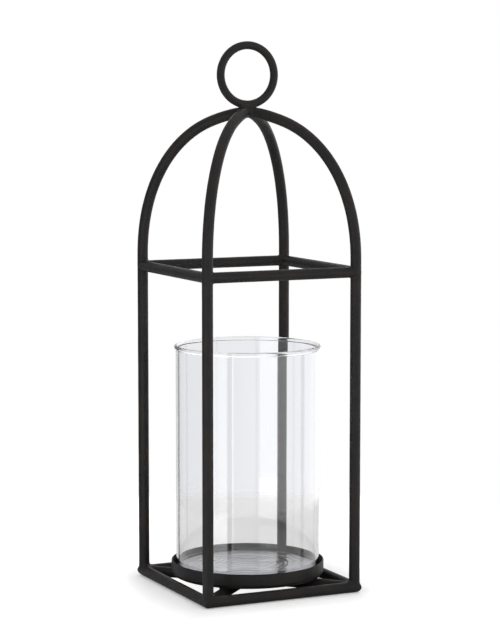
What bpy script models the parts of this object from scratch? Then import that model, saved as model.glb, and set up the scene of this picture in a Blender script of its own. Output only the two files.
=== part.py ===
"""Candle lantern: a welded cage of round iron rod around a loose glass cylinder.

Metres, +Z up. The origin is the middle of the square footprint, on the surface that
the lantern stands on. The sides of the footprint run along X and Y.
"""
import math

import bmesh
import bpy
from mathutils import Matrix, Vector

# Driving dimensions
ROD_RADIUS = 0.0045           # 9 mm round rod, used for the whole cage
POST_SPACING = 0.134          # centre to centre of neighbouring posts
TIE_HEIGHT = 0.2685           # centreline of the upper square of tie bars
SPRING_HEIGHT = 0.278         # where the straight posts start to bend over
ARCH_RISE = 0.1194            # height of the arch's plain curve above the springing
ARCH_POWER = 2.12             # 2 would be a plain ellipse, more is squarer
CROWN_LIFT = 0.0016           # how far the rods are drawn up above that curve to the crown
CROWN_LIFT_REACH = 0.03       # distance from the axis at which that lift starts
RING_WIRE_RADIUS = 0.00335    # hanging ring, 6.7 mm wire
RING_OUTER_RADIUS = 0.0278
RING_SINK = 0.0014            # how far the ring is let into the crown
TRAY_RADIUS = 0.0645
TRAY_TOP = 0.022              # height of the tray's rim above the ground
TRAY_SHEET = 0.0012           # thickness of the pressed metal
TRAY_FILLET = 0.0025          # inside bend between the tray's floor and its rim
GLASS_RADIUS = 0.0605
GLASS_HEIGHT = 0.194
GLASS_WALL = 0.0022
GLASS_BASE = 0.0075           # the closed bottom is thicker than the wall
GLASS_HEEL = 0.003            # rounding where the wall meets the base, outside
GLASS_INNER_HEEL = 0.0018     # the same rounding inside
GLASS_BEAD_OVERHANG = 0.0013  # how far the mouth's rounded bead stands out of the wall
GAP = 0.0003                  # between touching pieces

# Fineness of the round shapes
ROD_SIDES = 16
ARCH_SEGMENTS = 32
RING_SEGMENTS = 40
RING_SIDES = 12
TURNED_STEPS = 48
BEND_STEPS = 3
LIP_STEPS = 4
BEAD_STEPS = 9
SHARP_ANGLE = math.radians(35)
WELD_DISTANCE = 0.00001

# Finishes
COAT_COLOUR = (0.028, 0.026, 0.025)
COAT_ROUGHNESS = 0.45
GLASS_COLOUR = (0.93, 0.96, 0.97)
GLASS_ROUGHNESS = 0.03

# Derived sizes
HALF_FACET = math.pi / ROD_SIDES
CORNER = POST_SPACING / 2
POST_REACH = CORNER * math.sqrt(2)
BASE_HEIGHT = ROD_RADIUS
CROWN_HEIGHT = SPRING_HEIGHT + ARCH_RISE + CROWN_LIFT
FLAT = math.cos(HALF_FACET)
MITRE_GAP = GAP / math.sqrt(2)
TRAY_BOTTOM = BASE_HEIGHT + ROD_RADIUS + GAP
TRAY_FLOOR = TRAY_BOTTOM + TRAY_SHEET
GLASS_BOTTOM = TRAY_FLOOR + GAP

# Corners of the footprint, as the direction from the axis to each post
CORNERS = {
    "front_left": Vector((-CORNER, -CORNER, 0)),
    "front_right": Vector((CORNER, -CORNER, 0)),
    "rear_right": Vector((CORNER, CORNER, 0)),
    "rear_left": Vector((-CORNER, CORNER, 0)),
}
SIDES = {
    "front": ("front_left", "front_right"),
    "right": ("front_right", "rear_right"),
    "rear": ("rear_right", "rear_left"),
    "left": ("rear_left", "front_left"),
}


def empty_scene():
    for item in list(bpy.data.objects):
        bpy.data.objects.remove(item, do_unlink=True)


def make_collection(name):
    collection = bpy.data.collections.new(name)
    bpy.context.scene.collection.children.link(collection)
    return collection


def make_material(name, colour, roughness, transmission=0.0):
    material = bpy.data.materials.new(name)
    material.use_nodes = True
    shader = material.node_tree.nodes["Principled BSDF"]
    shader.inputs["Base Color"].default_value = (*colour, 1.0)
    shader.inputs["Roughness"].default_value = roughness
    shader.inputs["Transmission Weight"].default_value = transmission
    return material


def finish_mesh(mesh):
    mesh.shade_smooth()
    mesh.set_sharp_from_angle(angle=SHARP_ANGLE)


def mesh_object(name, mesh, collection):
    finish_mesh(mesh)
    item = bpy.data.objects.new(name, mesh)
    collection.objects.link(item)
    return item


def bent_rod(name, path, radius, collection):
    """A round rod along a list of points, as a closed mesh with flat ends."""
    curve = bpy.data.curves.new(name, "CURVE")
    curve.dimensions = "3D"
    curve.bevel_depth = radius
    curve.bevel_resolution = (ROD_SIDES - 4) // 2
    curve.use_fill_caps = True
    spline = curve.splines.new("POLY")
    spline.points.add(len(path) - 1)
    for point, place in zip(spline.points, path):
        point.co = (*place, 1.0)
    draft = bpy.data.objects.new(name + "_draft", curve)
    bpy.context.scene.collection.objects.link(draft)
    graph = bpy.context.evaluated_depsgraph_get()
    mesh = bpy.data.meshes.new_from_object(draft.evaluated_get(graph))
    mesh.name = name
    bpy.data.objects.remove(draft, do_unlink=True)
    bpy.data.curves.remove(curve)
    shape = bmesh.new()
    shape.from_mesh(mesh)
    bmesh.ops.remove_doubles(shape, verts=shape.verts, dist=WELD_DISTANCE)
    bmesh.ops.recalc_face_normals(shape, faces=shape.faces)
    shape.to_mesh(mesh)
    shape.free()
    return mesh_object(name, mesh, collection)


def straight_rod(name, start, end, radius, collection, mitre_gap=None):
    """A round rod between two points at one height, with a flat facet underneath.

    With a mitre gap, both ends are cut at 45 degrees so that they face the rods that
    turn off to the left of the run, and stand back from the mitre by that gap.
    """
    run = end - start
    shape = bmesh.new()
    bmesh.ops.create_cone(shape, cap_ends=True, segments=ROD_SIDES, radius1=radius / FLAT,
                          radius2=radius / FLAT, depth=run.length)
    turn = Matrix.Rotation(HALF_FACET, 4, "Z")
    lie_down = Matrix.Rotation(math.pi / 2, 4, "Y")
    bmesh.ops.transform(shape, matrix=lie_down @ turn, verts=shape.verts)
    if mitre_gap is not None:
        for vert in shape.verts:
            end_sign = math.copysign(1, vert.co.x)
            vert.co.x -= end_sign * (vert.co.y + mitre_gap)
    mesh = bpy.data.meshes.new(name)
    shape.to_mesh(mesh)
    shape.free()
    item = mesh_object(name, mesh, collection)
    item.location = (start + end) / 2
    item.rotation_euler = (0, 0, math.atan2(run.y, run.x))
    return item


def turned(name, profile, foot, collection, steps=TURNED_STEPS):
    """A solid of revolution about Z from (radius, height above the foot) points."""
    mesh = bpy.data.meshes.new(name)
    points = [(radius, 0, height) for radius, height in profile]
    edges = [(index, index + 1) for index in range(len(points) - 1)]
    mesh.from_pydata(points, edges, [])
    item = bpy.data.objects.new(name, mesh)
    collection.objects.link(item)
    item.location = (0, 0, foot)
    screw = item.modifiers.new("Turn", "SCREW")
    screw.steps = steps
    screw.render_steps = steps
    screw.use_merge_vertices = True
    screw.merge_threshold = WELD_DISTANCE
    screw.use_smooth_shade = True
    return item


def arc(centre, radius, start, end, segments):
    """Points of (radius, height) along an arc, with angles in degrees from +X."""
    points = []
    for index in range(segments + 1):
        angle = math.radians(start + (end - start) * index / segments)
        points.append((centre[0] + radius * math.cos(angle), centre[1] + radius * math.sin(angle)))
    return points


def cut(item, cutters):
    """Cope a piece around its neighbours, by taking the cutters' volume away from it."""
    for cutter in cutters:
        boolean = item.modifiers.new("Cope", "BOOLEAN")
        boolean.operation = "DIFFERENCE"
        boolean.object = cutter
    return item


def crown_lift(reach):
    """Height added to the arch at that distance from the axis."""
    share = min(reach / CROWN_LIFT_REACH, 1)
    return CROWN_LIFT * (1 + math.cos(math.pi * share)) / 2


def half_hoop_path(corner):
    """Up one post and over to the crown, where the lantern's axis is."""
    outward = corner.normalized()
    path = [Vector((corner.x, corner.y, BASE_HEIGHT))]
    half = ARCH_SEGMENTS // 2
    for index in range(half + 1):
        angle = math.pi / 2 * index / half
        reach = POST_REACH * max(math.cos(angle), 0) ** (2 / ARCH_POWER)
        height = SPRING_HEIGHT + ARCH_RISE * math.sin(angle) ** (2 / ARCH_POWER)
        height += crown_lift(reach)
        path.append(Vector((outward.x * reach, outward.y * reach, height)))
    path[-1] = Vector((0, 0, CROWN_HEIGHT))
    return path


def main_hoop_path():
    """From one foot over the crown to the opposite foot."""
    rise = half_hoop_path(CORNERS["rear_left"])
    fall = half_hoop_path(CORNERS["front_right"])
    return rise + fall[-2::-1]


def make_hoops(collection, extra=0.0, suffix=""):
    """One whole hoop, and two halves that butt against its crown."""
    radius = ROD_RADIUS + extra
    return {
        "main_hoop": bent_rod("main_hoop" + suffix, main_hoop_path(), radius, collection),
        "front_half_hoop": bent_rod("front_half_hoop" + suffix,
                                    half_hoop_path(CORNERS["front_left"]), radius, collection),
        "rear_half_hoop": bent_rod("rear_half_hoop" + suffix,
                                   half_hoop_path(CORNERS["rear_right"]), radius, collection),
    }


def make_base_clearance(collection):
    """The square of base bars, grown by the gap: a section turned in four steps."""
    radius = (ROD_RADIUS + GAP) / FLAT
    section = []
    for index in range(ROD_SIDES + 1):
        angle = HALF_FACET - math.tau * index / ROD_SIDES
        reach = POST_REACH + math.sqrt(2) * radius * math.cos(angle)
        section.append((reach, radius * math.sin(angle)))
    ring = turned("base_clearance", section, BASE_HEIGHT, collection, steps=4)
    ring.rotation_euler = (0, 0, math.pi / 4)
    return ring


def side_rod(name, side, height, radius, collection, mitre_gap=None):
    """A rod along one side of the square, from post centre to post centre."""
    lift = Vector((0, 0, height))
    first, second = SIDES[side]
    return straight_rod(name, CORNERS[first] + lift, CORNERS[second] + lift, radius, collection,
                        mitre_gap)


def make_base_bars(collection):
    bars = {}
    for side in SIDES:
        bar = side_rod("base_bar_" + side, side, BASE_HEIGHT, ROD_RADIUS, collection, MITRE_GAP)
        bars[bar.name] = bar
    return bars


def make_tie_clearance(collection):
    """The front and rear tie bars, grown by the gap."""
    radius = ROD_RADIUS + GAP
    return [side_rod(side + "_tie_clearance", side, TIE_HEIGHT, radius, collection)
            for side in ("front", "rear")]


def make_tie_bars(collection, hoop_clearance, tie_clearance):
    """Four rods butted between the posts; the left and right ones fit around the others."""
    bars = {}
    for side, posts in SIDES.items():
        bar = side_rod("tie_bar_" + side, side, TIE_HEIGHT, ROD_RADIUS, collection)
        half_hoop = "rear_half_hoop" if "rear_right" in posts else "front_half_hoop"
        cut(bar, [hoop_clearance["main_hoop"], hoop_clearance[half_hoop]])
        if side in ("left", "right"):
            cut(bar, tie_clearance)
        bars[bar.name] = bar
    return bars


def diagonal_rod(name, first, second, radius, collection):
    lift = Vector((0, 0, BASE_HEIGHT))
    return straight_rod(name, CORNERS[first] + lift, CORNERS[second] + lift, radius, collection)


def make_cross_clearance(collection):
    """Both diagonals under the tray, grown by the gap."""
    radius = ROD_RADIUS + GAP
    return {
        "long": diagonal_rod("long_clearance", "rear_left", "front_right", radius, collection),
        "short": diagonal_rod("short_clearance", "front_left", "rear_right", radius, collection),
    }


def make_cross_rods(collection, base_clearance, cross_clearance):
    """One rod from corner to corner under the tray, and two halves across it."""
    long_rod = diagonal_rod("cross_rod_long", "rear_left", "front_right", ROD_RADIUS, collection)
    rods = {long_rod.name: cut(long_rod, [base_clearance])}
    middle = Vector((0, 0, BASE_HEIGHT))
    for name, corner in (("front", "front_left"), ("rear", "rear_right")):
        half = straight_rod("cross_rod_" + name, CORNERS[corner] + middle, middle, ROD_RADIUS,
                            collection)
        rods[half.name] = cut(half, [base_clearance, cross_clearance["long"]])
    return rods


def make_tray(collection):
    """A round pan with an upright rim, pressed from sheet."""
    inner = TRAY_RADIUS - TRAY_SHEET
    lip = TRAY_SHEET / 2
    outer_bend = TRAY_FILLET + TRAY_SHEET
    height = TRAY_TOP - TRAY_BOTTOM
    profile = [(0, TRAY_SHEET)]
    profile += arc((inner - TRAY_FILLET, outer_bend), TRAY_FILLET, -90, 0,
                   BEND_STEPS)
    profile += arc((inner + lip, height - lip), lip, 180, 0, LIP_STEPS)
    profile += arc((TRAY_RADIUS - outer_bend, outer_bend), outer_bend, 0, -90, BEND_STEPS)
    profile += [(0, 0)]
    return turned("glass_tray", profile, TRAY_BOTTOM, collection)


def make_glass(collection):
    """A straight-sided cylinder vase: closed base, open beaded mouth."""
    inner = GLASS_RADIUS - GLASS_WALL
    bead = (GLASS_WALL + GLASS_BEAD_OVERHANG) / 2
    meets_wall = -math.degrees(math.acos((GLASS_WALL - bead) / bead))
    profile = [(0, GLASS_BASE)]
    profile += arc((inner - GLASS_INNER_HEEL, GLASS_BASE + GLASS_INNER_HEEL), GLASS_INNER_HEEL,
                   -90, 0, BEND_STEPS)
    profile += arc((inner + bead, GLASS_HEIGHT - bead), bead, 180, meets_wall, BEAD_STEPS)
    profile += arc((GLASS_RADIUS - GLASS_HEEL, GLASS_HEEL), GLASS_HEEL, 0, -90, BEND_STEPS)
    profile += [(0, 0)]
    return turned("glass_cylinder", profile, GLASS_BOTTOM, collection)


def make_hanging_ring(collection, hoop_clearance):
    """A closed ring of thinner wire, standing upright on the crown."""
    middle = RING_OUTER_RADIUS - RING_WIRE_RADIUS
    crown_top = CROWN_HEIGHT + ROD_RADIUS
    bpy.ops.mesh.primitive_torus_add(
        major_radius=middle, minor_radius=RING_WIRE_RADIUS, major_segments=RING_SEGMENTS,
        minor_segments=RING_SIDES, location=(0, 0, crown_top - RING_SINK + RING_OUTER_RADIUS),
        rotation=(math.pi / 2, 0, 0))
    ring = bpy.context.object
    ring.name = "hanging_ring"
    for owner in list(ring.users_collection):
        owner.objects.unlink(ring)
    collection.objects.link(ring)
    finish_mesh(ring.data)
    return cut(ring, hoop_clearance.values())


def hide_cutters(cutters):
    for cutter in cutters.objects:
        cutter.hide_render = True
        cutter.display_type = "WIRE"


def main():
    empty_scene()
    lantern = make_collection("candle_lantern")
    cutters = make_collection("cutters")

    base_clearance = make_base_clearance(cutters)
    cross_clearance = make_cross_clearance(cutters)
    hoop_clearance = make_hoops(cutters, extra=GAP, suffix="_clearance")
    tie_clearance = make_tie_clearance(cutters)

    cage = make_hoops(lantern)
    cut(cage["main_hoop"], [base_clearance, cross_clearance["long"]])
    for name in ("front_half_hoop", "rear_half_hoop"):
        cut(cage[name], [base_clearance, cross_clearance["short"], hoop_clearance["main_hoop"]])
    cage.update(make_base_bars(lantern))
    cage.update(make_tie_bars(lantern, hoop_clearance, tie_clearance))
    cage.update(make_cross_rods(lantern, base_clearance, cross_clearance))
    cage["hanging_ring"] = make_hanging_ring(lantern, hoop_clearance)
    cage["glass_tray"] = make_tray(lantern)
    glass = make_glass(lantern)
    hide_cutters(cutters)

    for name, piece in cage.items():
        coat = make_material(name + "_black_coat", COAT_COLOUR, COAT_ROUGHNESS)
        piece.data.materials.append(coat)
    clear = make_material("clear_glass", GLASS_COLOUR, GLASS_ROUGHNESS, transmission=1.0)
    glass.data.materials.append(clear)


main()
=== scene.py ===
"""Looks of the candle lantern: fine rods with welded joints, a pressed tray and a glass.

Metres, +Z up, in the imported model's own frame. Each CAD node is replaced by a finer
piece of the same size and place, and the welds between the rods are pieces of their own.
"""
import itertools
import math

import bpy
import numpy as np
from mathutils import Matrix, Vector, noise


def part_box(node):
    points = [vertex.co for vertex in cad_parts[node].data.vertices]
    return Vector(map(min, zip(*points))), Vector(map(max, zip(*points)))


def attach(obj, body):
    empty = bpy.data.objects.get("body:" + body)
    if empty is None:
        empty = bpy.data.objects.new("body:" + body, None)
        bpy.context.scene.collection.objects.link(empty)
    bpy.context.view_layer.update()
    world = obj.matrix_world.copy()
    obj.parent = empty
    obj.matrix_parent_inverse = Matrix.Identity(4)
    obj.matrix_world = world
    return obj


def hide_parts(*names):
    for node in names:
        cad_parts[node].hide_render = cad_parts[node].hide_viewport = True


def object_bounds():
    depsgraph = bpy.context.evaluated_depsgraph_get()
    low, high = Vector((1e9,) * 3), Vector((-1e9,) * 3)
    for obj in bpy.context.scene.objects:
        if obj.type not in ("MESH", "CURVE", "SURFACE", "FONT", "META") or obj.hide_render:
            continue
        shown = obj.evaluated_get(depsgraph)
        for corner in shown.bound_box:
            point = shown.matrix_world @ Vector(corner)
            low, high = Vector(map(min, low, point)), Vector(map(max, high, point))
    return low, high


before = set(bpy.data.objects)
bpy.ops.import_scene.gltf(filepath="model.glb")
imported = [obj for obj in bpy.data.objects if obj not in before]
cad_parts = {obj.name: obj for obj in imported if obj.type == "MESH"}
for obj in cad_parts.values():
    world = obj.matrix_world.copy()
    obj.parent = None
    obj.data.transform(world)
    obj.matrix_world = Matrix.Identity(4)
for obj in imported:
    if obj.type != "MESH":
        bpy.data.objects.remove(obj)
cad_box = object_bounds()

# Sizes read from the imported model
tie_low, tie_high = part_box("tie_bar_front")
ring_low, ring_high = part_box("hanging_ring")
tray_low, tray_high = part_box("glass_tray")
glass_low, glass_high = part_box("glass_cylinder")
ROD_RADIUS = (tie_high.z - tie_low.z) / 2
TIE_HEIGHT = (tie_high.z + tie_low.z) / 2
CORNER = cad_box[1].x - ROD_RADIUS
POST_REACH = CORNER * math.sqrt(2)
BASE_HEIGHT = ROD_RADIUS
CROWN_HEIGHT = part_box("main_hoop")[1].z - ROD_RADIUS
RING_OUTER_RADIUS = (ring_high.x - ring_low.x) / 2
RING_WIRE_RADIUS = (ring_high.y - ring_low.y) / 2
RING_CENTRE = Vector((0, 0, ring_high.z - RING_OUTER_RADIUS))
RING_RADIUS = RING_OUTER_RADIUS - RING_WIRE_RADIUS

# Sizes that a box doesn't give, as the CAD has them. The arch is a superellipse of
# ARCH_POWER above SPRING_HEIGHT, pulled up by CROWN_LIFT within CROWN_LIFT_REACH of the axis.
SPRING_HEIGHT = 0.278
ARCH_POWER = 2.12
CROWN_LIFT = 0.0016
CROWN_LIFT_REACH = 0.03
TRAY_SHEET = 0.0012
TRAY_FILLET = 0.0025
GLASS_WALL = 0.0022
GLASS_BASE = 0.0075
GLASS_HEEL = 0.003
GLASS_INNER_HEEL = 0.0018
GLASS_BEAD_OVERHANG = 0.0013

# Finer shape of the glass: rings pressed in its floor, closer together further out, and
# the hollow under its foot
PRESSED_RINGS = 9
PRESSED_RING_DEPTH = 0.00006
PRESSED_RING_CROWDING = 1.2
FOOT_HOLLOW = 0.0006

# Fineness
ROD_SIDES = 40
ROD_STEP = 0.002
ARCH_SEGMENTS = 96
RING_SEGMENTS = 120
RING_SIDES = 30
TURNED_STEPS = 192
GLASS_FLOOR_STEPS = 72
GLASS_FOOT_STEPS = 12
GLASS_WALL_STEPS = 24
WELD_CELL = 0.00055

# Unevenness of hand-made iron
DENT_DEPTH = 0.00005
DENT_SIZE = 0.009
WELD_LUMP = 0.00016
WELD_LUMP_SIZE = 0.0045

# Welds: how far each reaches from its joint
BASE_WELD_REACH = 0.0135
TIE_WELD_REACH = 0.0105
TACK_REACH = 0.0055
CROWN_WELD_REACH = 0.0155
CROSSING_WELD_REACH = 0.0095

# Where two of them sit: above the hoops' centre line, and in from the tray's rim
CROWN_WELD_LIFT = 0.0028
TACK_INSET = 0.008

# A weld stands proud of its rods at the joint and sinks into them towards its edge
WELD_PROUD = 0.00004
WELD_SINK = 0.0004
WELD_SINK_STARTS = 0.55

# Fillet radii of the welds
MITRE_FILLET = 0.0026
FOOT_FILLET = 0.003
DIAGONAL_FILLET = 0.0024
TIE_TO_TIE_FILLET = 0.0014
TIE_TO_POST_FILLET = 0.0015
THROUGH_ROD_FILLET = 0.001
BUTTED_ROD_FILLET = 0.003
RING_FILLET = 0.003
TACK_FILLET = 0.0028

# What is left of a fillet where two skins face the same way
LEAST_FILLET_SHARE = 0.08

# Width over which one mitred bar turns into the other
MITRE_BLEND = 0.0012

# How many of each hoop's last points the crown weld follows
CROWN_WELD_POINTS = 14

# A different place in the noise for each piece's dents
HOOP_SEED = 3.0
BAR_SEED = 11.0
CROSS_ROD_SEED = 20.0
RING_SEED = 30.0
BASE_WELD_SEED = 40.0
TIE_WELD_SEED = 50.0
TACK_SEED = 60.0
CROWN_WELD_SEED = 70.0
CROSSING_WELD_SEED = 71.0

# Camera: the viewpoint round the lantern, its distance and lens, and the point it aims at,
# to the camera's right of the axis and above the ground
CAMERA_AZIMUTH = math.radians(-25.341)
CAMERA_ELEVATION = math.radians(6.201)
CAMERA_DISTANCE = 1.8752
CAMERA_LENS_MM = 125.05
CAMERA_AIM_RIGHT = 0.0021
CAMERA_AIM_HEIGHT = 0.22411

# The side light's two edges: angles round the lantern to the left of the camera, and how
# far off each stands
SIDE_LIGHT_FROM = math.radians(56.7)
SIDE_LIGHT_FROM_AWAY = 0.50
SIDE_LIGHT_TO = math.radians(21.5)
SIDE_LIGHT_TO_AWAY = 0.90
SIDE_LIGHT_BOTTOM = -0.25
SIDE_LIGHT_TOP = 0.45

# Radiance of the lights, and strength of the studio round about
SIDE_RADIANCE = 1.65
BACK_RADIANCE = 1.3
TOP_RADIANCE = 0.8
DARK_HORIZON = 0.35
BRIGHT_HORIZON = 2.1
BRIGHT_HORIZON_RIGHT = math.radians(80)
SKY_STRENGTH = 0.8
GROUND_STRENGTH = 0.6

# The floor: its mesh, and the distances over which it fades out
FLOOR_RADIUS = 1.2
FLOOR_RINGS = 24
FLOOR_STEPS = 96
FLOOR_FADE_FROM = 0.37
FLOOR_FADE_TO = 0.44

# Painted light on the floor, a glow that only the camera sees: inside the base, where it
# takes away the shade under the tray, round it, past its shadow, and to both sides of the
# lantern
PAINTED_GLOW_INSIDE = 0.9
PAINTED_GLOW_ROUND = 0.17
PAINTED_GLOW_PAST_SHADOW = 0.34
PAINTED_GLOW_BESIDE = 0.25
INSIDE_SOFTNESS = 0.012
SHADOW_FROM = CORNER + 0.008
SHADOW_TO = CORNER + 0.075
BESIDE_FROM = 0.082
BESIDE_TO = 0.125

# A painted pool of light on the floor towards the side light, a glow that only reflections
# see: it starts over one pair of distances and brightens over the other, and its two sides
# are soft
SPILL_STARTS = (0.10, 0.14)
SPILL_BRIGHTENS = (0.24, 0.32)
SPILL_NEAR = 1.2
SPILL_FAR = 2.8
SPILL_SOFTNESS = math.radians(3)

UP = Vector((0, 0, 1))
CORNERS = {
    "front_left": Vector((-CORNER, -CORNER, 0)),
    "front_right": Vector((CORNER, -CORNER, 0)),
    "rear_right": Vector((CORNER, CORNER, 0)),
    "rear_left": Vector((-CORNER, CORNER, 0)),
}
SIDES = {
    "front": ("front_left", "front_right"),
    "right": ("front_right", "rear_right"),
    "rear": ("rear_right", "rear_left"),
    "left": ("rear_left", "front_left"),
}


# ---------------------------------------------------------------- node materials

class Shader:
    """A short way to write a node tree: most calls add one node and give its output."""

    def __init__(self, tree):
        self.tree = tree
        self.tree.nodes.clear()

    def node(self, kind, **settings):
        made = self.tree.nodes.new(kind)
        for key, value in settings.items():
            setattr(made, key, value)
        return made

    def link(self, source, socket):
        if isinstance(source, bpy.types.NodeSocket):
            self.tree.links.new(source, socket)
        else:
            socket.default_value = source

    def noise(self, vector, scale, detail=3.0, roughness=0.5):
        made = self.node("ShaderNodeTexNoise")
        self.link(vector, made.inputs["Vector"])
        self.link(scale, made.inputs["Scale"])
        self.link(detail, made.inputs["Detail"])
        self.link(roughness, made.inputs["Roughness"])
        return made.outputs["Fac"]

    def ramp(self, value, low, high, to_low=0.0, to_high=1.0):
        """value taken from low..high to to_low..to_high, and held at the ends."""
        made = self.node("ShaderNodeMapRange", interpolation_type="SMOOTHSTEP")
        names = ("Value", "From Min", "From Max", "To Min", "To Max")
        for name, source in zip(names, (value, low, high, to_low, to_high)):
            self.link(source, made.inputs[name])
        return made.outputs["Result"]

    def math(self, operation, *values):
        made = self.node("ShaderNodeMath", operation=operation)
        for value, socket in zip(values, made.inputs):
            self.link(value, socket)
        return made.outputs[0]

    def mix(self, factor, first, second):
        made = self.node("ShaderNodeMix", data_type="RGBA")
        self.link(factor, made.inputs["Factor"])
        for source, name in ((first, "A"), (second, "B")):
            socket = [s for s in made.inputs if s.name == name and s.type == "RGBA"][0]
            self.link(source, socket)
        return [s for s in made.outputs if s.type == "RGBA"][0]

    def split(self, vector):
        made = self.node("ShaderNodeSeparateXYZ")
        self.link(vector, made.inputs[0])
        return made.outputs

    def dot(self, vector, direction):
        """How far vector reaches along a fixed direction."""
        made = self.node("ShaderNodeVectorMath", operation="DOT_PRODUCT")
        self.link(vector, made.inputs[0])
        made.inputs[1].default_value = direction
        return made.outputs["Value"]

    def length(self, vector):
        made = self.node("ShaderNodeVectorMath", operation="LENGTH")
        self.link(vector, made.inputs[0])
        return made.outputs["Value"]

    def scaled(self, vector, factor):
        made = self.node("ShaderNodeVectorMath", operation="SCALE")
        self.link(vector, made.inputs[0])
        self.link(factor, made.inputs["Scale"])
        return made.outputs[0]

    def stretch(self, vector, scale):
        made = self.node("ShaderNodeMapping")
        self.link(vector, made.inputs["Vector"])
        made.inputs["Scale"].default_value = scale
        return made.outputs["Vector"]

    def bump(self, height, distance, strength=1.0, normal=None):
        made = self.node("ShaderNodeBump")
        made.inputs["Strength"].default_value = strength
        made.inputs["Distance"].default_value = distance
        self.link(height, made.inputs["Height"])
        if normal is not None:
            self.link(normal, made.inputs["Normal"])
        return made.outputs["Normal"]

    def background(self, colour, strength=1.0):
        made = self.node("ShaderNodeBackground")
        self.link(colour, made.inputs["Color"])
        self.link(strength, made.inputs["Strength"])
        return made.outputs[0]

    def blend(self, factor, first, second):
        """The shader first where factor is 0, and the shader second where it is 1."""
        made = self.node("ShaderNodeMixShader")
        for source, socket in zip((factor, first, second), made.inputs):
            self.link(source, socket)
        return made.outputs[0]

    def to_output(self, shader, kind="ShaderNodeOutputMaterial"):
        self.link(shader, self.node(kind).inputs["Surface"])


def rgb(red, green, blue):
    return (red, green, blue, 1.0)


def new_material(name):
    """An empty node material, and the Shader that fills it."""
    material = bpy.data.materials.new(name)
    material.use_nodes = True
    return material, Shader(material.node_tree)


def iron_coat(name, cool, warm, rub, rub_height, roughness):
    """Matt black coat over iron: mottled, streaked along the rod, finely grained.

    cool and warm are the two colours of the mottle, and rub is the brown that shows
    through along the lowest edges, up to rub_height above the ground.
    """
    material, s = new_material(name)
    place = s.node("ShaderNodeTexCoord").outputs["Object"]
    along = s.node("ShaderNodeAttribute", attribute_name="along").outputs["Vector"]
    mottle = s.noise(place, 55.0, detail=5.0, roughness=0.6)
    grain = s.noise(place, 950.0, detail=2.0)
    streak = s.noise(s.stretch(along, (520.0, 520.0, 60.0)), 1.0, detail=3.0)
    patch = s.noise(place, 210.0, detail=3.0, roughness=0.65)
    colour = s.mix(s.ramp(mottle, 0.38, 0.64), cool, warm)
    shade = s.math("ADD", s.ramp(grain, 0.3, 0.7, 0.86, 1.12),
                   s.ramp(streak, 0.35, 0.65, -0.10, 0.12))
    shade = s.math("ADD", shade, s.ramp(patch, 0.35, 0.65, -0.07, 0.07))
    worn = s.math("MULTIPLY", s.ramp(s.split(place)["Z"], rub_height, 0.0),
                  s.ramp(s.noise(place, 140.0, detail=4.0), 0.42, 0.6))
    colour = s.mix(worn, s.scaled(colour, shade), rub)
    surface = s.node("ShaderNodeBsdfPrincipled")
    s.link(colour, surface.inputs["Base Color"])
    rough = s.math("ADD", s.ramp(patch, 0.3, 0.7, roughness - 0.05, roughness + 0.07),
                   s.ramp(grain, 0.35, 0.65, -0.03, 0.03))
    s.link(rough, surface.inputs["Roughness"])
    surface.inputs["IOR"].default_value = 1.28
    skin = s.bump(s.noise(place, 420.0, detail=2.0), 0.00012, 0.55)
    skin = s.bump(s.noise(place, 1900.0, detail=2.0), 0.00005, 0.5, skin)
    s.link(skin, surface.inputs["Normal"])
    s.to_output(surface.outputs[0])
    return material


def clear_glass(name):
    """Soda glass with a faint cool grey tint, drawn waves and a little haze."""
    material, s = new_material(name)
    place = s.node("ShaderNodeTexCoord").outputs["Object"]
    waves = s.noise(s.stretch(place, (26.0, 26.0, 7.0)), 1.0, detail=2.0)
    smear = s.noise(s.stretch(place, (60.0, 60.0, 22.0)), 1.0, detail=4.0, roughness=0.6)
    surface = s.node("ShaderNodeBsdfPrincipled")
    tint = s.mix(s.ramp(waves, 0.35, 0.65), rgb(0.962, 0.968, 0.976), rgb(0.982, 0.985, 0.99))
    s.link(tint, surface.inputs["Base Color"])
    s.link(s.ramp(smear, 0.45, 0.75, 0.0, 0.035), surface.inputs["Roughness"])
    surface.inputs["IOR"].default_value = 1.5
    surface.inputs["Transmission Weight"].default_value = 1.0
    s.link(s.bump(waves, 0.0004, 0.25), surface.inputs["Normal"])
    lets_light_by = s.node("ShaderNodeBsdfTransparent")
    lets_light_by.inputs["Color"].default_value = rgb(0.94, 0.95, 0.96)
    rays = s.node("ShaderNodeLightPath").outputs
    s.to_output(s.blend(rays["Is Shadow Ray"], surface.outputs[0], lets_light_by.outputs[0]))
    return material


# ---------------------------------------------------------------- mesh pieces

def make_piece(name, verts, faces, material, body, along=None):
    """A smooth mesh that rides on a CAD body, with the coordinates its streaks follow.

    Nothing of it goes below the ground.
    """
    verts = np.array(verts)
    verts[:, 2] = np.maximum(verts[:, 2], 0)
    mesh = bpy.data.meshes.new(name)
    mesh.from_pydata([tuple(v) for v in verts], [], [tuple(f) for f in faces])
    mesh.validate()
    mesh.shade_smooth()
    follow = mesh.attributes.new("along", "FLOAT_VECTOR", "POINT")
    follow.data.foreach_set("vector", np.asarray(verts if along is None else along,
                                                 np.float32).ravel())
    mesh.materials.append(material)
    piece = bpy.data.objects.new(name, mesh)
    bpy.context.scene.collection.objects.link(piece)
    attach(piece, body)
    return piece


def dented(points, outward, depth, size, seed):
    """points moved in and out a little, by noise that is the same each run."""
    moved = np.empty(len(points))
    for index, point in enumerate(points):
        moved[index] = noise.noise(Vector(point) / size + Vector((seed, 0.0, 0.0)))
    return points + outward * (moved * depth)[:, None]


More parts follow.
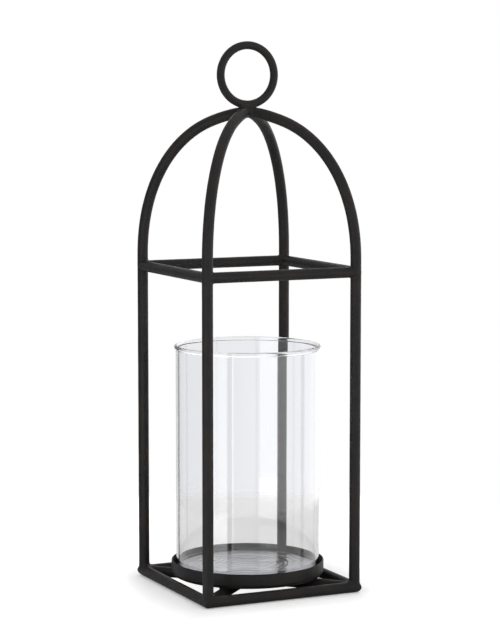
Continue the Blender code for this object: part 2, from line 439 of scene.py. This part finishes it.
def tube(path, across, radius, sides, closed=False, seed=0.0):
    """Verts, faces and streak coordinates of a rod along a path in one plane.

    across is the unit vector square to that plane. The ends are flat unless it is closed.
    """
    path = np.array([tuple(p) for p in path])
    across = np.array(across)
    if closed:
        tangent = np.roll(path, -1, 0) - np.roll(path, 1, 0)
        gap = np.linalg.norm(path - np.roll(path, 1, 0), axis=1)
    else:
        tangent = np.gradient(path, axis=0)
        gap = np.linalg.norm(np.diff(path, axis=0, prepend=path[:1]), axis=1)
    tangent /= np.linalg.norm(tangent, axis=1)[:, None]
    inward = np.cross(across, tangent)
    length = np.cumsum(gap)
    angles = np.arange(sides) * math.tau / sides
    cos, sin = np.cos(angles), np.sin(angles)
    outward = (cos[None, :, None] * across[None, None, :]
               + sin[None, :, None] * inward[:, None, :]).reshape(-1, 3)
    centres = np.repeat(path, sides, axis=0)
    verts = dented(centres + outward * radius, outward, DENT_DEPTH, DENT_SIZE, seed)
    count = len(path)
    along = np.stack([np.tile(cos * radius, count), np.tile(sin * radius, count),
                      np.repeat(length, sides)], -1)
    faces = []
    for i in range(count if closed else count - 1):
        here, after = i * sides, (i + 1) % count * sides
        for j in range(sides):
            k = (j + 1) % sides
            faces.append((here + j, after + j, after + k, here + k))
    if not closed:
        faces.append(tuple(range(sides)))
        faces.append(tuple(range((count - 1) * sides, count * sides))[::-1])
    return verts, faces, along


def turned(profile, steps):
    """Verts and faces of a profile of (radius, height) points turned about the axis."""
    verts, faces, rings = [], [], []
    for radius, height in profile:
        if radius == 0:
            rings.append([len(verts)])
            verts.append((0.0, 0.0, height))
            continue
        rings.append(list(range(len(verts), len(verts) + steps)))
        for index in range(steps):
            angle = math.tau * index / steps
            verts.append((radius * math.cos(angle), radius * math.sin(angle), height))
    for lower, upper in zip(rings, rings[1:]):
        for i in range(steps):
            j = (i + 1) % steps
            if len(lower) == 1:
                faces.append((lower[0], upper[j], upper[i]))
            elif len(upper) == 1:
                faces.append((lower[i], lower[j], upper[0]))
            else:
                faces.append((lower[i], lower[j], upper[j], upper[i]))
    return np.array(verts), faces


def arc(centre, radius, start, end, segments):
    """Points of (radius, height) along an arc, with angles in degrees from +X."""
    points = []
    for index in range(segments + 1):
        angle = math.radians(start + (end - start) * index / segments)
        points.append((centre[0] + radius * math.cos(angle),
                       centre[1] + radius * math.sin(angle)))
    return points


def straight(start, end):
    """Points every ROD_STEP or so from start to end."""
    count = max(2, round((end - start).length / ROD_STEP))
    return [start.lerp(end, index / count) for index in range(count + 1)]


def half_hoop_path(corner):
    """Up one post and over its arch to the crown."""
    outward = corner.normalized()
    foot = corner + UP * BASE_HEIGHT
    path = straight(foot, corner + UP * SPRING_HEIGHT)[:-1]
    half = ARCH_SEGMENTS // 2
    rise = CROWN_HEIGHT - SPRING_HEIGHT - CROWN_LIFT
    for index in range(half + 1):
        angle = math.pi / 2 * index / half
        reach = POST_REACH * max(math.cos(angle), 0.0) ** (2 / ARCH_POWER)
        height = SPRING_HEIGHT + rise * math.sin(angle) ** (2 / ARCH_POWER)
        share = min(reach / CROWN_LIFT_REACH, 1)
        height += CROWN_LIFT * (1 + math.cos(math.pi * share)) / 2
        path.append(outward * reach + UP * height)
    path[-1] = UP * CROWN_HEIGHT
    return path


# ---------------------------------------------------------------- welded joints

def rod_field(*path):
    """Distance and direction from the skin of a rod along a path of a few points."""
    points = [np.array(tuple(p)) for p in path]

    def field(places):
        best = np.full(len(places), np.inf)
        nearest = np.zeros_like(places)
        for start, end in zip(points, points[1:]):
            run = end - start
            share = np.clip((places - start) @ run / (run @ run), 0, 1)
            offset = places - start - share[:, None] * run
            distance = np.linalg.norm(offset, axis=1)
            closer = distance < best
            best = np.where(closer, distance, best)
            nearest[closer] = offset[closer]
        return best - ROD_RADIUS, nearest / (best[:, None] + 1e-9)
    return field


def ring_field(places):
    """Distance and direction from the skin of the hanging ring."""
    local = places - np.array(tuple(RING_CENTRE))
    flat = np.hypot(local[:, 0], local[:, 2]) + 1e-9
    centre = local * np.array([1, 0, 1]) * (RING_RADIUS / flat)[:, None]
    offset = local - centre
    distance = np.linalg.norm(offset, axis=1) + 1e-9
    return distance - RING_WIRE_RADIUS, offset / distance[:, None]


def filleted(first, second, radius):
    """Two (distance, direction) pairs joined with a round fillet in their inner corner."""
    turn = 1 - np.sum(first[1] * second[1], axis=1)
    fillet = radius * np.clip(turn, LEAST_FILLET_SHARE, 1)
    near = np.minimum(first[0], second[0])
    hollow = np.hypot(np.maximum(fillet - first[0], 0), np.maximum(fillet - second[0], 0))
    joined = np.maximum(fillet, near) - hollow
    share = np.clip(0.5 + (first[0] - second[0]) / (2 * fillet + 1e-9), 0, 1)[:, None]
    direction = first[1] * (1 - share) + second[1] * share
    direction /= np.linalg.norm(direction, axis=1)[:, None] + 1e-9
    return joined, direction


def surface_net(field, low, high, cell):
    """Verts and quads where field is zero: one vert in each grid cell that it crosses."""
    axes = [np.arange(low[i], high[i] + cell, cell) for i in range(3)]
    grid = np.stack(np.meshgrid(*axes, indexing="ij"), -1)
    inside = field(grid.reshape(-1, 3)).reshape(grid.shape[:3]) < 0
    corners = [inside[i:inside.shape[0] - 1 + i, j:inside.shape[1] - 1 + j,
                      k:inside.shape[2] - 1 + k]
               for i, j, k in itertools.product((0, 1), repeat=3)]
    filled = sum(corner.astype(int) for corner in corners)
    crossed = (filled > 0) & (filled < 8)
    number = np.full(crossed.shape, -1)
    number[crossed] = np.arange(crossed.sum())
    verts = grid[:-1, :-1, :-1][crossed] + cell / 2
    faces = []
    for axis in range(3):
        one, two = [a for a in range(3) if a != axis]
        ahead = np.take(inside, range(1, inside.shape[axis]), axis)
        behind = np.take(inside, range(inside.shape[axis] - 1), axis)
        for spot in np.argwhere(ahead != behind):
            around = []
            for back_one, back_two in ((0, 0), (1, 0), (1, 1), (0, 1)):
                cell_at = spot.copy()
                cell_at[one] -= back_one
                cell_at[two] -= back_two
                around.append(number[tuple(cell_at)])
            # The four cells are listed the other way round for the middle axis
            outward = behind[tuple(spot)] == (axis != 1)
            faces.append(around if outward else around[::-1])
    return verts, faces


def settle(verts, field, rounds=5, reach=0.00004):
    """verts moved onto the zero surface of field, down its slope."""
    for _ in range(rounds):
        value = field(verts)
        slope = np.stack([(field(verts + step) - field(verts - step)) / (2 * reach)
                          for step in np.eye(3) * reach], -1)
        steep = np.sum(slope * slope, axis=1) + 1e-6
        verts = verts - slope * np.clip(value / steep, -WELD_CELL, WELD_CELL)[:, None]
    return verts


def weld(name, centre, reach, shape, material, seed):
    """A weld bead: the filleted shape within reach of centre, sinking into its rods."""
    centre = np.array(tuple(centre))

    def field(places):
        away = np.linalg.norm(places - centre, axis=1)
        share = np.clip((away / reach - WELD_SINK_STARTS) / (1 - WELD_SINK_STARTS), 0, 1)
        sink = WELD_SINK * share * share - WELD_PROUD
        return np.maximum(shape(places) + sink, away - reach)

    verts, faces = surface_net(field, centre - reach - WELD_CELL, centre + reach + WELD_CELL,
                               WELD_CELL)
    verts = settle(verts, field)
    outward = verts - centre
    outward /= np.linalg.norm(outward, axis=1)[:, None]
    fade = np.clip(1.6 - 1.6 * np.linalg.norm(verts - centre, axis=1) / reach, 0, 1)
    verts = dented(verts, outward * fade[:, None], WELD_LUMP, WELD_LUMP_SIZE, seed)
    return make_piece(name, verts, faces, material, "cage")


def base_corner_shape(corner):
    """Two mitred base bars, the foot of a post and the diagonal rod under the tray."""
    centre = np.array(tuple(corner + UP * BASE_HEIGHT))
    turn = np.array([math.copysign(1, corner.x), math.copysign(1, corner.y), 1])
    post = rod_field(corner + UP * BASE_HEIGHT, corner + UP * TIE_HEIGHT)
    diagonal = rod_field(corner + UP * BASE_HEIGHT, UP * BASE_HEIGHT)

    def shape(places):
        local = (places - centre) * turn
        x, y, z = local.T
        zero = np.zeros_like(x)
        from_x = np.hypot(y, z) + 1e-9
        from_y = np.hypot(x, z) + 1e-9
        along_x = (from_x - ROD_RADIUS, np.stack([zero, y, z], -1) * turn / from_x[:, None])
        along_y = (from_y - ROD_RADIUS, np.stack([x, zero, z], -1) * turn / from_y[:, None])
        share = np.clip(0.5 + (x - y) / MITRE_BLEND, 0, 1)
        mitre = along_x[0] * (1 - share) + along_y[0] * share
        inner = np.clip(-(x + y) / ROD_RADIUS, 0, 1)
        hollow, _ = filleted(along_x, along_y, MITRE_FILLET)
        bars = np.where(x + y < 0, mitre * (1 - inner) + np.minimum(mitre, hollow) * inner,
                        mitre)
        direction = along_x[1] * (1 - share)[:, None] + along_y[1] * share[:, None]
        joined = filleted((bars, direction), post(places), FOOT_FILLET)
        return filleted(joined, diagonal(places), DIAGONAL_FILLET)[0]
    return shape


def tie_corner_shape(corner):
    """Two tie bars butted against a post."""
    joint = corner + UP * TIE_HEIGHT
    post = rod_field(corner + UP * BASE_HEIGHT, corner + UP * SPRING_HEIGHT)
    along_x = rod_field(joint, Vector((0, joint.y, joint.z)))
    along_y = rod_field(joint, Vector((joint.x, 0, joint.z)))

    def shape(places):
        ties = filleted(along_x(places), along_y(places), TIE_TO_TIE_FILLET)
        return filleted(post(places), ties, TIE_TO_POST_FILLET)[0]
    return shape


def meeting(limbs, places):
    """Four limbs that meet: the second and fourth are one rod, and the others butt on it."""
    joined = filleted(limbs[1](places), limbs[3](places), THROUGH_ROD_FILLET)
    for limb in (limbs[0], limbs[2]):
        joined = filleted(joined, limb(places), BUTTED_ROD_FILLET)
    return joined


def crown_shape():
    """The hoops where they cross, and the foot of the ring on them."""
    limbs = [rod_field(*half_hoop_path(corner)[-CROWN_WELD_POINTS:])
             for corner in CORNERS.values()]

    def shape(places):
        return filleted(meeting(limbs, places), ring_field(places), RING_FILLET)[0]
    return shape


def crossing_shape():
    """The diagonal rods where they meet under the middle of the tray."""
    centre = UP * BASE_HEIGHT
    rods = [rod_field(corner + centre, centre) for corner in CORNERS.values()]

    def shape(places):
        return meeting(rods, places)[0]
    return shape


def tray_tack_shape(corner):
    """A diagonal rod with a bead up to the underside of the tray, just into its sheet."""
    rod = rod_field(corner + UP * BASE_HEIGHT, UP * BASE_HEIGHT)

    def shape(places):
        down = np.tile([0.0, 0.0, -1.0], (len(places), 1))
        tray = (tray_low.z - places[:, 2], down)
        joined = filleted(rod(places), tray, TACK_FILLET)[0]
        return np.maximum(joined, places[:, 2] - tray_low.z - TRAY_SHEET / 2)
    return shape


# ---------------------------------------------------------------- the cage

def make_rod(name, path, across, material, node, seed):
    """A round rod along path, in place of the CAD's node."""
    verts, faces, along = tube(path, across, ROD_RADIUS, ROD_SIDES, seed=seed)
    piece = make_piece(name, verts, faces, material, "cage", along)
    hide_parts(node)
    return piece


def make_hoops(material):
    """The whole hoop over two corners, and a half hoop over each of the others."""
    paths = {
        "main_hoop": half_hoop_path(CORNERS["rear_left"])
        + half_hoop_path(CORNERS["front_right"])[-2::-1],
        "front_half_hoop": half_hoop_path(CORNERS["front_left"]),
        "rear_half_hoop": half_hoop_path(CORNERS["rear_right"]),
    }
    for seed, (node, path) in enumerate(paths.items()):
        across = UP.cross(path[0] * Vector((1, 1, 0))).normalized()
        make_rod(node + "_rod", path, across, material, node, HOOP_SEED + seed)


def make_bars(material):
    """The square of base bars, and the square of ties between the posts."""
    seed = BAR_SEED
    for level, height in (("base_bar_", BASE_HEIGHT), ("tie_bar_", TIE_HEIGHT)):
        lift = UP * height
        for side, (first, second) in SIDES.items():
            path = straight(CORNERS[first] + lift, CORNERS[second] + lift)
            make_rod(level + side + "_rod", path, UP, material, level + side, seed)
            seed += 1


def make_cross_rods(material):
    """The diagonals under the tray: one rod runs through, and two halves butt on it."""
    lift = UP * BASE_HEIGHT
    ends = {
        "cross_rod_long": (CORNERS["rear_left"] + lift, CORNERS["front_right"] + lift),
        "cross_rod_front": (CORNERS["front_left"] + lift, lift),
        "cross_rod_rear": (CORNERS["rear_right"] + lift, lift),
    }
    for seed, (node, (start, end)) in enumerate(ends.items()):
        path = straight(start, end)
        make_rod(node + "_bar", path, UP, material, node, CROSS_ROD_SEED + seed)


def make_ring(material):
    """The hanging ring, upright and parallel to the front."""
    path = []
    for index in range(RING_SEGMENTS):
        angle = math.tau * index / RING_SEGMENTS
        path.append(RING_CENTRE + RING_RADIUS * Vector((math.cos(angle), 0, math.sin(angle))))
    verts, faces, along = tube(path, Vector((0, 1, 0)), RING_WIRE_RADIUS, RING_SIDES,
                               closed=True, seed=RING_SEED)
    ring = make_piece("hanging_ring_wire", verts, faces, material, "cage", along)
    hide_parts("hanging_ring")


def make_welds(material):
    """A weld at each corner of the base and ties, four tacks, the crown and the crossing."""
    tack_reach = tray_high.x - TACK_INSET
    for seed, (name, corner) in enumerate(CORNERS.items()):
        weld("weld_base_" + name, corner + UP * BASE_HEIGHT, BASE_WELD_REACH,
             base_corner_shape(corner), material, BASE_WELD_SEED + seed)
        weld("weld_tie_" + name, corner + UP * TIE_HEIGHT, TIE_WELD_REACH,
             tie_corner_shape(corner), material, TIE_WELD_SEED + seed)
        weld("weld_tray_" + name, corner.normalized() * tack_reach + UP * tray_low.z,
             TACK_REACH, tray_tack_shape(corner), material, TACK_SEED + seed)
    weld("weld_crown", UP * (CROWN_HEIGHT + CROWN_WELD_LIFT), CROWN_WELD_REACH,
         crown_shape(), material, CROWN_WELD_SEED)
    weld("weld_crossing", UP * BASE_HEIGHT, CROSSING_WELD_REACH,
         crossing_shape(), material, CROSSING_WELD_SEED)


# ---------------------------------------------------------------- tray and glass


def make_tray(material):
    """A round pan with an upright rim and a softly rounded lip."""
    radius, bottom, top = tray_high.x, tray_low.z, tray_high.z
    floor = bottom + TRAY_SHEET
    inner = radius - TRAY_SHEET
    lip = TRAY_SHEET / 2
    outer_bend = TRAY_FILLET + TRAY_SHEET
    profile = [(0, floor)]
    profile += [(inner * share, floor) for share in (0.2, 0.4, 0.6, 0.8)]
    profile += arc((inner - TRAY_FILLET, floor + TRAY_FILLET), TRAY_FILLET, -90, 0, 10)
    profile += arc((inner + lip, top - lip), lip, 180, 0, 12)
    profile += arc((radius - outer_bend, bottom + outer_bend), outer_bend, 0, -90, 12)
    profile += [(inner * share, bottom) for share in (0.8, 0.6, 0.4, 0.2)]
    profile += [(0, bottom)]
    verts, faces = turned(profile[::-1], TURNED_STEPS)
    tray = make_piece("glass_tray_pan", verts, faces, material, "cage")
    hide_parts("glass_tray")


def wall_points(radius, start, end):
    """Points along a straight wall, close together at its ends so that it shades flat."""
    points = []
    for step in range(1, GLASS_WALL_STEPS):
        share = 0.5 - 0.5 * math.cos(math.pi * step / GLASS_WALL_STEPS)
        points.append((radius, start + (end - start) * share))
    return points


def make_glass(material):
    """A cylinder vase: beaded mouth, straight wall, thick base with faint pressed rings."""
    bottom, top = glass_low.z, glass_high.z
    radius = glass_high.x - GLASS_BEAD_OVERHANG
    inner = radius - GLASS_WALL
    floor = bottom + GLASS_BASE
    bead = (GLASS_WALL + GLASS_BEAD_OVERHANG) / 2
    meets_wall = -math.degrees(math.acos((GLASS_WALL - bead) / bead))
    flat = inner - GLASS_INNER_HEEL
    profile = [(0, floor)]
    for index in range(1, GLASS_FLOOR_STEPS):
        share = index / GLASS_FLOOR_STEPS
        turns = PRESSED_RINGS * share ** PRESSED_RING_CROWDING
        ripple = PRESSED_RING_DEPTH * math.sin(math.tau * turns)
        profile.append((flat * share, floor + ripple * math.sin(math.pi * share)))
    profile += arc((flat, floor + GLASS_INNER_HEEL), GLASS_INNER_HEEL, -90, 0, 14)
    profile += wall_points(inner, floor + GLASS_INNER_HEEL, top - bead)
    profile += arc((inner + bead, top - bead), bead, 180, meets_wall, 28)
    profile += wall_points(radius, profile[-1][1], bottom + GLASS_HEEL)
    profile += arc((radius - GLASS_HEEL, bottom + GLASS_HEEL), GLASS_HEEL, 0, -90, 14)
    for index in range(1, GLASS_FOOT_STEPS):
        share = index / GLASS_FOOT_STEPS
        rise = FOOT_HOLLOW * (0.5 - 0.5 * math.cos(math.pi * share))
        profile.append(((radius - GLASS_HEEL) * (1 - share), bottom + rise))
    profile += [(0, bottom + FOOT_HOLLOW)]
    verts, faces = turned(profile[::-1], TURNED_STEPS)
    glass = make_piece("glass_cylinder_vase", verts, faces, material, "glass")
    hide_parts("glass_cylinder")


# ---------------------------------------------------------------- studio

def bearing(azimuth, elevation):
    """Unit vector from the lantern towards that azimuth and elevation."""
    return Vector((math.sin(azimuth) * math.cos(elevation),
                   -math.cos(azimuth) * math.cos(elevation), math.sin(elevation)))


def floor_painted_glow(s, place):
    """Painted light, a glow that only the camera sees: most inside the base, where it takes
    away the shade under the tray, and more away from it.

    The contact shadow stays dark in a band round the base bars.
    """
    x, y, _ = s.split(place)
    reach = s.math("MAXIMUM", s.math("ABSOLUTE", x), s.math("ABSOLUTE", y))
    inside = s.ramp(reach, CORNER, CORNER - INSIDE_SOFTNESS, PAINTED_GLOW_ROUND, PAINTED_GLOW_INSIDE)
    outside = s.ramp(reach, SHADOW_FROM, SHADOW_TO, 0.0, PAINTED_GLOW_PAST_SHADOW)
    camera_right = bearing(CAMERA_AZIMUTH + math.pi / 2, 0)
    beside = s.math("ABSOLUTE", s.dot(place, camera_right))
    return s.math("ADD", s.math("ADD", inside, outside),
                  s.ramp(beside, BESIDE_FROM, BESIDE_TO, 0.0, PAINTED_GLOW_BESIDE))


def floor_spill(s, place, away):
    """A painted pool of light: a glowing sector of floor towards the side light, which only
    reflections see.
    """
    x, y, _ = s.split(place)
    azimuth = s.math("ARCTAN2", x, s.math("MULTIPLY", y, -1.0))
    lit_from, lit_to = CAMERA_AZIMUTH - SIDE_LIGHT_FROM, CAMERA_AZIMUTH - SIDE_LIGHT_TO
    enters = s.ramp(azimuth, lit_from - SPILL_SOFTNESS, lit_from + SPILL_SOFTNESS)
    leaves = s.ramp(azimuth, lit_to + SPILL_SOFTNESS, lit_to - SPILL_SOFTNESS)
    spill = s.math("MULTIPLY", enters, leaves)
    spill = s.math("MULTIPLY", spill, s.ramp(away, *SPILL_STARTS))
    return s.math("MULTIPLY", spill, s.ramp(away, *SPILL_BRIGHTENS, SPILL_NEAR, SPILL_FAR))


def floor_paint():
    """Pale grey, with painted light (glows that only the camera and the reflections see) and
    painted shade where it is seen through the glass, fading out to nothing.
    """
    material, s = new_material("pale_floor")
    place = s.node("ShaderNodeTexCoord").outputs["Object"]
    rays = s.node("ShaderNodeLightPath").outputs
    away = s.length(place)
    pale = s.mix(s.noise(place, 30.0), rgb(0.78, 0.78, 0.78), rgb(0.80, 0.80, 0.80))
    # Painted shade: the floor is a little darker and warmer where it is seen through the
    # glass
    shaded_through_glass = rgb(0.775, 0.77, 0.765)
    paint = s.node("ShaderNodeBsdfDiffuse")
    s.link(s.mix(rays["Is Transmission Ray"], pale, shaded_through_glass), paint.inputs["Color"])
    # Painted light: the floor glows for the camera, and in one sector for reflections, though
    # it is no lamp
    strength = s.math("ADD",
                      s.math("MULTIPLY", rays["Is Camera Ray"], floor_painted_glow(s, place)),
                      s.math("MULTIPLY", rays["Is Glossy Ray"], floor_spill(s, place, away)))
    glow = s.node("ShaderNodeEmission")
    s.link(strength, glow.inputs["Strength"])
    lit = s.node("ShaderNodeAddShader")
    s.link(paint.outputs[0], lit.inputs[0])
    s.link(glow.outputs[0], lit.inputs[1])
    clear = s.node("ShaderNodeBsdfTransparent")
    s.to_output(s.blend(s.ramp(away, FLOOR_FADE_FROM, FLOOR_FADE_TO),
                     lit.outputs[0], clear.outputs[0]))
    return material


def make_floor():
    """A pale floor that fades into the white surroundings."""
    profile = [(FLOOR_RADIUS * index / FLOOR_RINGS, 0) for index in range(FLOOR_RINGS + 1)]
    verts, faces = turned(profile, FLOOR_STEPS)
    mesh = bpy.data.meshes.new("floor")
    mesh.from_pydata([tuple(v) for v in verts], [], [tuple(f) for f in faces])
    mesh.flip_normals()
    mesh.materials.append(floor_paint())
    floor = bpy.data.objects.new("floor", mesh)
    bpy.context.scene.collection.objects.link(floor)


def make_world():
    """Plain white to the eye, grey as painted shade where it is seen through the glass, and a
    soft studio for whatever it lights.

    The studio is brightest level with the lantern, on the right of the camera.
    """
    world = bpy.data.worlds.new("studio")
    bpy.context.scene.world = world
    world.use_nodes = True
    s = Shader(world.node_tree)
    rays = s.node("ShaderNodeLightPath").outputs
    direction = s.node("ShaderNodeTexCoord").outputs["Generated"]
    height = s.split(direction)["Z"]
    brightest = bearing(CAMERA_AZIMUTH + BRIGHT_HORIZON_RIGHT, 0.0)
    horizon = s.ramp(s.dot(direction, brightest), -0.9, 0.8, DARK_HORIZON, BRIGHT_HORIZON)
    sky = s.ramp(height, 0.05, 0.45)
    ground = s.ramp(height, -0.16, -0.4)
    level = s.math("SUBTRACT", s.math("SUBTRACT", 1.0, sky), ground)
    strength = s.math("MULTIPLY", horizon, level)
    strength = s.math("MULTIPLY_ADD", sky, SKY_STRENGTH, strength)
    strength = s.math("MULTIPLY_ADD", ground, GROUND_STRENGTH, strength)
    light = s.background(rgb(1.0, 0.99, 0.985), strength)
    # Painted shade: the white surroundings turn grey where they are seen through the glass
    shaded_through_glass = s.background(rgb(0.85, 0.85, 0.872))
    seen = s.background(rgb(1.0, 1.0, 1.0))
    behind = s.blend(rays["Is Transmission Ray"], light, shaded_through_glass)
    s.to_output(s.blend(rays["Is Camera Ray"], behind, seen), "ShaderNodeOutputWorld")


def softbox(name, place, aim, width, height, radiance, colour=(1.0, 1.0, 1.0)):
    """A rectangular light at place, facing aim, whose face has that radiance."""
    light = bpy.data.lights.new(name, "AREA")
    light.shape = "RECTANGLE"
    light.size = width
    light.size_y = height
    light.energy = radiance * math.pi * width * height
    light.color = colour
    lamp = bpy.data.objects.new(name, light)
    lamp.location = place
    lamp.rotation_euler = (place - aim).to_track_quat("Z", "Y").to_euler()
    lamp.visible_camera = False
    bpy.context.scene.collection.objects.link(lamp)


def make_lights():
    """A tall side light close by on the left, and broad ones behind and overhead."""
    near = bearing(CAMERA_AZIMUTH - SIDE_LIGHT_FROM, 0) * SIDE_LIGHT_FROM_AWAY
    far = bearing(CAMERA_AZIMUTH - SIDE_LIGHT_TO, 0) * SIDE_LIGHT_TO_AWAY
    middle = (near + far) / 2 + UP * (SIDE_LIGHT_BOTTOM + SIDE_LIGHT_TOP) / 2
    facing = middle + UP.cross(far - near)
    softbox("left_softbox", middle, facing, (far - near).length,
            SIDE_LIGHT_TOP - SIDE_LIGHT_BOTTOM, SIDE_RADIANCE)
    centre = UP * 0.2
    behind = centre + bearing(CAMERA_AZIMUTH + math.radians(172), math.radians(30)) * 1.6
    softbox("back_softbox", behind, centre, width=1.5, height=0.6, radiance=BACK_RADIANCE,
            colour=(0.97, 0.985, 1.0))
    above = centre + bearing(CAMERA_AZIMUTH + math.radians(60), math.radians(75)) * 1.3
    softbox("top_softbox", above, centre, width=1.0, height=1.0, radiance=TOP_RADIANCE)


def make_camera():
    """A long lens at about the crown's height, looking slightly down at the lantern."""
    lens = bpy.data.cameras.new("camera")
    lens.lens = CAMERA_LENS_MM
    lens.sensor_width = 36.0
    lens.clip_start = 0.05
    camera = bpy.data.objects.new("camera", lens)
    right = bearing(CAMERA_AZIMUTH + math.pi / 2, 0)
    aim = right * CAMERA_AIM_RIGHT + UP * CAMERA_AIM_HEIGHT
    way = bearing(CAMERA_AZIMUTH, CAMERA_ELEVATION)
    camera.location = aim + way * CAMERA_DISTANCE
    camera.rotation_euler = way.to_track_quat("Z", "Y").to_euler()
    bpy.context.scene.collection.objects.link(camera)
    bpy.context.scene.camera = camera


def main():
    """The lantern, then the studio round it."""
    coat = iron_coat("black_iron_coat", cool=rgb(0.0075, 0.0075, 0.0075),
                     warm=rgb(0.0122, 0.0096, 0.0090), rub=rgb(0.07, 0.043, 0.031),
                     rub_height=0.0016, roughness=0.55)
    tray_coat = iron_coat("black_tray_coat", cool=rgb(0.0070, 0.0072, 0.0074),
                          warm=rgb(0.0100, 0.0088, 0.0080), rub=rgb(0.03, 0.024, 0.02),
                          rub_height=0.001, roughness=0.5)
    make_hoops(coat)
    make_bars(coat)
    make_cross_rods(coat)
    make_ring(coat)
    make_welds(coat)
    make_tray(tray_coat)
    make_glass(clear_glass("clear_soda_glass"))
    make_floor()
    make_world()
    make_lights()
    make_camera()
    bpy.context.scene.view_settings.view_transform = "Standard"


main()
